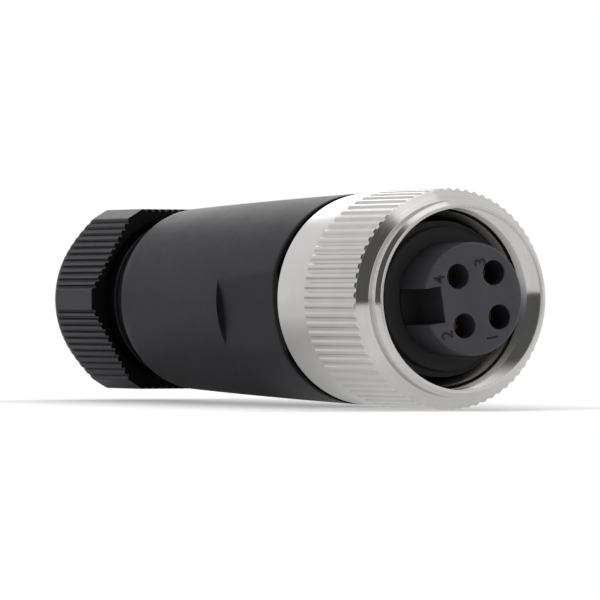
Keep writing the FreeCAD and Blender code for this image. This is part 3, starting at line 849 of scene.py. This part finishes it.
def groove_depth(across):
    """Depth of the grooves at a distance from a face's middle line."""
    if abs(across) > half_face:
        return 0.0
    share = abs(((across + half_face) / groove_pitch) % 1.0 - 0.5)
    slope = (GROOVE_HALF - share) / GROOVE_FLANK
    return GROOVE_DEPTH * min(max(slope, 0), 1) ** 0.85


def gland_limit(x, r, angle):
    """Radius of the gland nut's outside, lowered to the grooved hexagon."""
    if r < GLAND_INSIDE_R:
        return r
    turn = (angle - half_turn) % (2 * half_turn)
    if turn > half_turn:
        turn -= 2 * half_turn
    if abs(turn) <= face_half_angle:
        across = FACE_DISTANCE * math.tan(turn)
        wall = (FACE_DISTANCE - groove_depth(across)) / math.cos(turn)
    else:
        wall = CORNER_DISTANCE / math.cos(half_turn - abs(turn))
    return soft_minimum(r, wall, 0.1)


GROOVE_SHARES = (0.02, 0.12, 0.2, 0.26, 0.37, 0.5, 0.63, 0.74, 0.8, 0.88)
CORNER_SHARES = (0.0, 0.06, 0.28, 0.5, 0.72, 0.94)
gland_angles = []
for side in range(6):
    middle = half_turn * (1 + 2 * side)
    for index in range(GROOVE_COUNT):
        for share in GROOVE_SHARES:
            across = -half_face + (index + share) * groove_pitch
            gland_angles.append(middle + math.atan(across / FACE_DISTANCE))
    for share in CORNER_SHARES:
        gland_angles.append(middle + face_half_angle + share * 2 * (half_turn - face_half_angle))

gland_points = softened([
    (GLAND_FRONT_X, RECESS_R, 0.15),
    (GLAND_FRONT_X, GLAND_TURNED_R - 0.3, 0.1),
    (GLAND_FRONT_X - 0.2, GLAND_TURNED_R),
    (GLAND_REAR_X + CROWN_LENGTH, GLAND_TURNED_R),
    (GLAND_REAR_X, CROWN_R, 0.45),
    (GLAND_REAR_X, CABLE_HOLE_R, 0.25),
    (GLAND_REAR_X + 1.5, CABLE_HOLE_R, 0.2),
    (CAGE_CONE_X - 0.2, CAGE_CONE_R),
    (CAGE_CONE_X, CAGE_CONE_R),
    (CAGE_CONE_X, GLAND_THREAD_R),
    (RECESS_REAR_X, GLAND_THREAD_R, 0.1),
    (RECESS_REAR_X, RECESS_R, 0.1),
])
gland_points = finer(gland_points, 0.2, GLAND_REAR_X - 0.01, GLAND_REAR_X + CROWN_LENGTH + 0.4)
gland = skin("gland_nut_shell", gland_points, gland_angles, gland_black, limit=gland_limit, sharp_degrees=26)
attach(gland, "gland")
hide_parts("gland_nut")

# %% [markdown]
# Rubber pieces are turned too, but with fuller rounds. The face seal is the flat ring round
# the insert's foot. The cable sleeve has shallow grooves inside, which grip the cable.

# %% Seals
def block_outline(front_x, rear_x, inner_r, outer_r, rounds):
    """Four corners of a plain ring; the rounds run from the front's inside over the outside to the rear."""
    corners = ((front_x, inner_r), (front_x, outer_r), (rear_x, outer_r), (rear_x, inner_r))
    return [(*corner, size) for corner, size in zip(corners, rounds)]


face_seal_outline = block_outline(-3.7, -5.1, 6.76, 9.0, (0.15, 0.3, 0.15, 0.1))
face_seal = skin("face_seal_ring", softened(face_seal_outline), spread(160), rubber)
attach(face_seal, "insert")
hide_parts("face_seal")

housing_seal_outline = block_outline(-18.3, -19.6, 7.41, 8.85, (0.2, 0.4, 0.4, 0.2))
housing_seal = skin("housing_seal_ring", softened(housing_seal_outline), spread(128), rubber)
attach(housing_seal, "insert")
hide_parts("housing_seal")

SLEEVE_BORE_R = 5.0
SLEEVE_GROOVE_R = 5.35
sleeve_outline = block_outline(-62.75, -74.75, SLEEVE_BORE_R, 7.78, (0.5, 0.4, 0.4, 0.6))
for index in range(5):
    groove_x = -73.0 + 2.0 * index
    sleeve_outline += [
        (groove_x, SLEEVE_BORE_R, 0.1),
        (groove_x + 0.3, SLEEVE_GROOVE_R, 0.15),
        (groove_x + 0.8, SLEEVE_GROOVE_R, 0.15),
        (groove_x + 1.1, SLEEVE_BORE_R, 0.1),
    ]
sleeve = skin("cable_sleeve", softened(sleeve_outline), spread(128), rubber)
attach(sleeve, "seal_pack")
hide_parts("cable_seal")

# %% [markdown]
# The insert's CAD solid has the right holes and keyway, but its edges are razor sharp. A copy
# of its mesh is merged, flat faces are joined up again, and a Bevel modifier rounds the edges.

# %% Socket insert
insert_mesh = nodes["socket_insert"].data.copy()
insert_mesh.name = "insert_body"
merge = bmesh.new()
merge.from_mesh(insert_mesh)
bmesh.ops.remove_doubles(merge, verts=merge.verts, dist=0.0005 * MM)
bmesh.ops.dissolve_limit(merge, angle_limit=math.radians(0.5), verts=merge.verts, edges=merge.edges)
merge.to_mesh(insert_mesh)
merge.free()
insert_body = add_piece("insert_body", insert_mesh, insert_black)
rounding = insert_body.modifiers.new("soft edges", "BEVEL")
rounding.width = 0.14 * MM
rounding.segments = 2
rounding.limit_method = "ANGLE"
rounding.angle_limit = math.radians(35)
rounding.harden_normals = False
bpy.context.view_layer.update()
insert_ready = insert_body.evaluated_get(bpy.context.evaluated_depsgraph_get())
insert_soft = bpy.data.meshes.new_from_object(insert_ready)
insert_body.modifiers.clear()
insert_body.data = insert_soft
insert_soft.shade_smooth()
insert_soft.set_sharp_from_angle(angle=math.radians(30))
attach(insert_body, "insert")
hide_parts("socket_insert")
print("insert_body", len(insert_soft.polygons), "faces")

shank_thread = thread("shank_thread", -20.2, -26.6, 8.88, ON_SCREW, MOULDED_PITCH, insert_black)
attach(shank_thread, "insert")

# %% [markdown]
# The sockets are numbered beside their holes, with the tops of the figures towards the key.
# Each figure is a text object, made a mesh and laid on the face, and stands up a hair. Its dark
# colour is painted shade, as if the figure were cut into the face.

# %% Socket numbers
KEY_ANGLE = math.radians(188.8)
FIGURE_SIZE = 2.25
FIGURE_PLACES = (("4", -4.81, 2.38), ("3", 0.96, 4.54), ("2", -3.67, -4.42), ("1", 2.75, -4.74))
key_way = Vector((0, math.cos(KEY_ANGLE), math.sin(KEY_ANGLE)))
face_out = Vector((1, 0, 0))
figure_right = key_way.cross(face_out)
for figure, y, z in FIGURE_PLACES:
    text = bpy.data.curves.new("figure " + figure, "FONT")
    text.body = figure
    text.size = FIGURE_SIZE * MM
    text.extrude = 0.03 * MM
    text.offset = 0.02 * MM
    text.align_x = "CENTER"
    text.align_y = "CENTER"
    holder = bpy.data.objects.new("holder", text)
    bpy.context.scene.collection.objects.link(holder)
    bpy.context.view_layer.update()
    figure_mesh = bpy.data.meshes.new_from_object(holder.evaluated_get(bpy.context.evaluated_depsgraph_get()))
    bpy.data.objects.remove(holder)
    turn = Matrix((figure_right, key_way, face_out)).transposed().to_4x4()
    figure_mesh.transform(Matrix.Translation(Vector((FACE_X + 0.005, y, z)) * MM) @ turn)
    number = add_piece("socket_number_" + figure, figure_mesh, digit_painted_shade)
    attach(number, "insert")

# %% [markdown]
# The remaining CAD pieces have the right shape already, so they only need a finish. It goes
# in their own material slot, and their meshes stay as they are.

# %% Finishes for the plain pieces
finishes = {"slip_washer": steel, "thrust_washer": cage_black, "clamping_cage": cage_black}
for number in range(1, 5):
    finishes["socket_contact_%d" % number] = gold
    finishes["terminal_screw_%d" % number] = steel
    finishes["clamp_plate_%d" % number] = steel
for name, finish in finishes.items():
    nodes[name].data.materials.clear()
    nodes[name].data.materials.append(finish)
print(len(finishes), "plain pieces painted")

# %% [markdown]
# The floor and the world are white to the camera and in reflections, as in a product photo.
# Light Path tells which ray is asking. To other rays both are plain surfaces that light the
# object at an even level. Near the object part of the floor's white is real light, so a soft
# shadow shows there, and farther out the white takes over, so no horizon can be seen. Towards the
# dark side of the room the table ends, but only mirrored rays see that.

# %% Floor
DARK_SIDE = Vector((0.72, -0.6, 0.36)).normalized()
ROOM_GLOW = 0.1
FLOOR_REACH = 4
MIDDLE_X = -0.0434
floor_corners = ((-FLOOR_REACH, -FLOOR_REACH), (FLOOR_REACH, -FLOOR_REACH),
                 (FLOOR_REACH, FLOOR_REACH), (-FLOOR_REACH, FLOOR_REACH))
floor_z = min(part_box(name)[0].z for name in nodes)
floor_mesh = bpy.data.meshes.new("floor")
floor_mesh.from_pydata([(x, y, floor_z) for x, y in floor_corners], [], [(0, 1, 2, 3)])
floor_paint = Paint("floor white", (0.88, 0.88, 0.88), 0.95, specular=0.1)
rays = floor_paint.node("ShaderNodeLightPath", {}, {})
seen = (rays.value(0) + rays.value(3) + rays.value(6)).between(0.0, 1.0)
floor_at = floor_paint.node("ShaderNodeSeparateXYZ", {}, {0: floor_paint.place()})
beyond_end = (floor_at.value(0) - MIDDLE_X).size().between(0.043, 0.1) * 0.12
beside = floor_at.value(1).size() + beyond_end
under_body = 1 - floor_at.value(0).between(-0.045, -0.012)
mirrored = rays.value(3) * (0.4 - under_body * 0.65)
shadow_end = rays.value(0) * beside.between(0.012, 0.035) * 0.4
glow_share = (0.35 + mirrored + shadow_end + beside.between(0.004, 0.06) * 0.65).between(0.0, 1.0)
glow = floor_paint.node("ShaderNodeEmission", {}, {0: (1, 1, 1, 1), 1: 1.0})
floor_mix = floor_paint.node("ShaderNodeMixShader", {},
                             {0: seen * glow_share, 1: floor_paint.shader.outputs[0], 2: glow.out(0)})
toward_room = floor_at.value(0) * DARK_SIDE.x + floor_at.value(1) * DARK_SIDE.y
past_table = toward_room.between(0.17, 0.21)
dim_room = floor_paint.node("ShaderNodeEmission", {}, {0: (1, 1, 1, 1), 1: ROOM_GLOW})
table_mix = floor_paint.node("ShaderNodeMixShader", {},
                             {0: past_table * rays.value(3), 1: floor_mix.out(0), 2: dim_room.out(0)})
floor_paint.finish("Material Output", table_mix.out(0))
floor = add_piece("floor", floor_mesh, floor_paint.material)
print("floor at", round(floor_z * 1000, 2), "mm")

# %% [markdown]
# A studio isn't white all round: the room behind the photographer is dark, and polished metal
# needs something dark to mirror, or it looks like paper. The world's own direction gives a
# soft dark patch there. Rays straight from the camera always get white.

# %% World
world = bpy.data.worlds.new("studio")
bpy.context.scene.world = world
world.use_nodes = True
studio = Bench(world.node_tree)
sky_rays = studio.node("ShaderNodeLightPath", {}, {})
sky_seen = (sky_rays.value(0) + sky_rays.value(3) + sky_rays.value(6)).between(0.0, 1.0)
sky_way = studio.node("ShaderNodeTexCoord", {}, {})
toward_dark = studio.node("ShaderNodeVectorMath", {"operation": "DOT_PRODUCT"},
                          {0: sky_way.out(0), 1: DARK_SIDE}).value(1)
patch = toward_dark.between(0.7, 0.86) * (1 - sky_rays.value(0))
plain_level = 0.66 - toward_dark.between(0.3, 0.85) * 0.4
white_sky = studio.node("ShaderNodeBackground", {}, {0: (1, 1, 1, 1), 1: 1 - patch * 0.87})
plain_sky = studio.node("ShaderNodeBackground", {}, {0: (1, 1, 1, 1), 1: plain_level})
sky_mix = studio.node("ShaderNodeMixShader", {}, {0: sky_seen, 1: plain_sky.out(0), 2: white_sky.out(0)})
studio.finish("World Output", sky_mix.out(0))
print("world made with", len(world.node_tree.nodes), "nodes")

# %% [markdown]
# Two softboxes do the rest. One hangs overhead, and the nose mirrors it as a bright wedge. The
# other stands behind and gives the light streak along the top of the body and the nut.


# %% Lamps
LAMP_AIM = Vector((-0.02, 0, 0))


def add_lamp(name, place, size, power):
    """Softbox that faces the nut's nose."""
    data = bpy.data.lights.new(name, "AREA")
    data.shape = "RECTANGLE"
    data.size, data.size_y = size
    data.energy = power
    lamp = bpy.data.objects.new(name, data)
    bpy.context.scene.collection.objects.link(lamp)
    lamp.location = place
    lamp.rotation_euler = (LAMP_AIM - Vector(place)).to_track_quat("-Z", "Y").to_euler()


add_lamp("overhead softbox", (0.28, 0.05, 0.5), (0.34, 0.22), 0.155)
add_lamp("back softbox", (-0.6, 0.24, 0.25), (0.3, 0.36), 0.44)

# %% View
bpy.context.scene.view_settings.view_transform = "Standard"
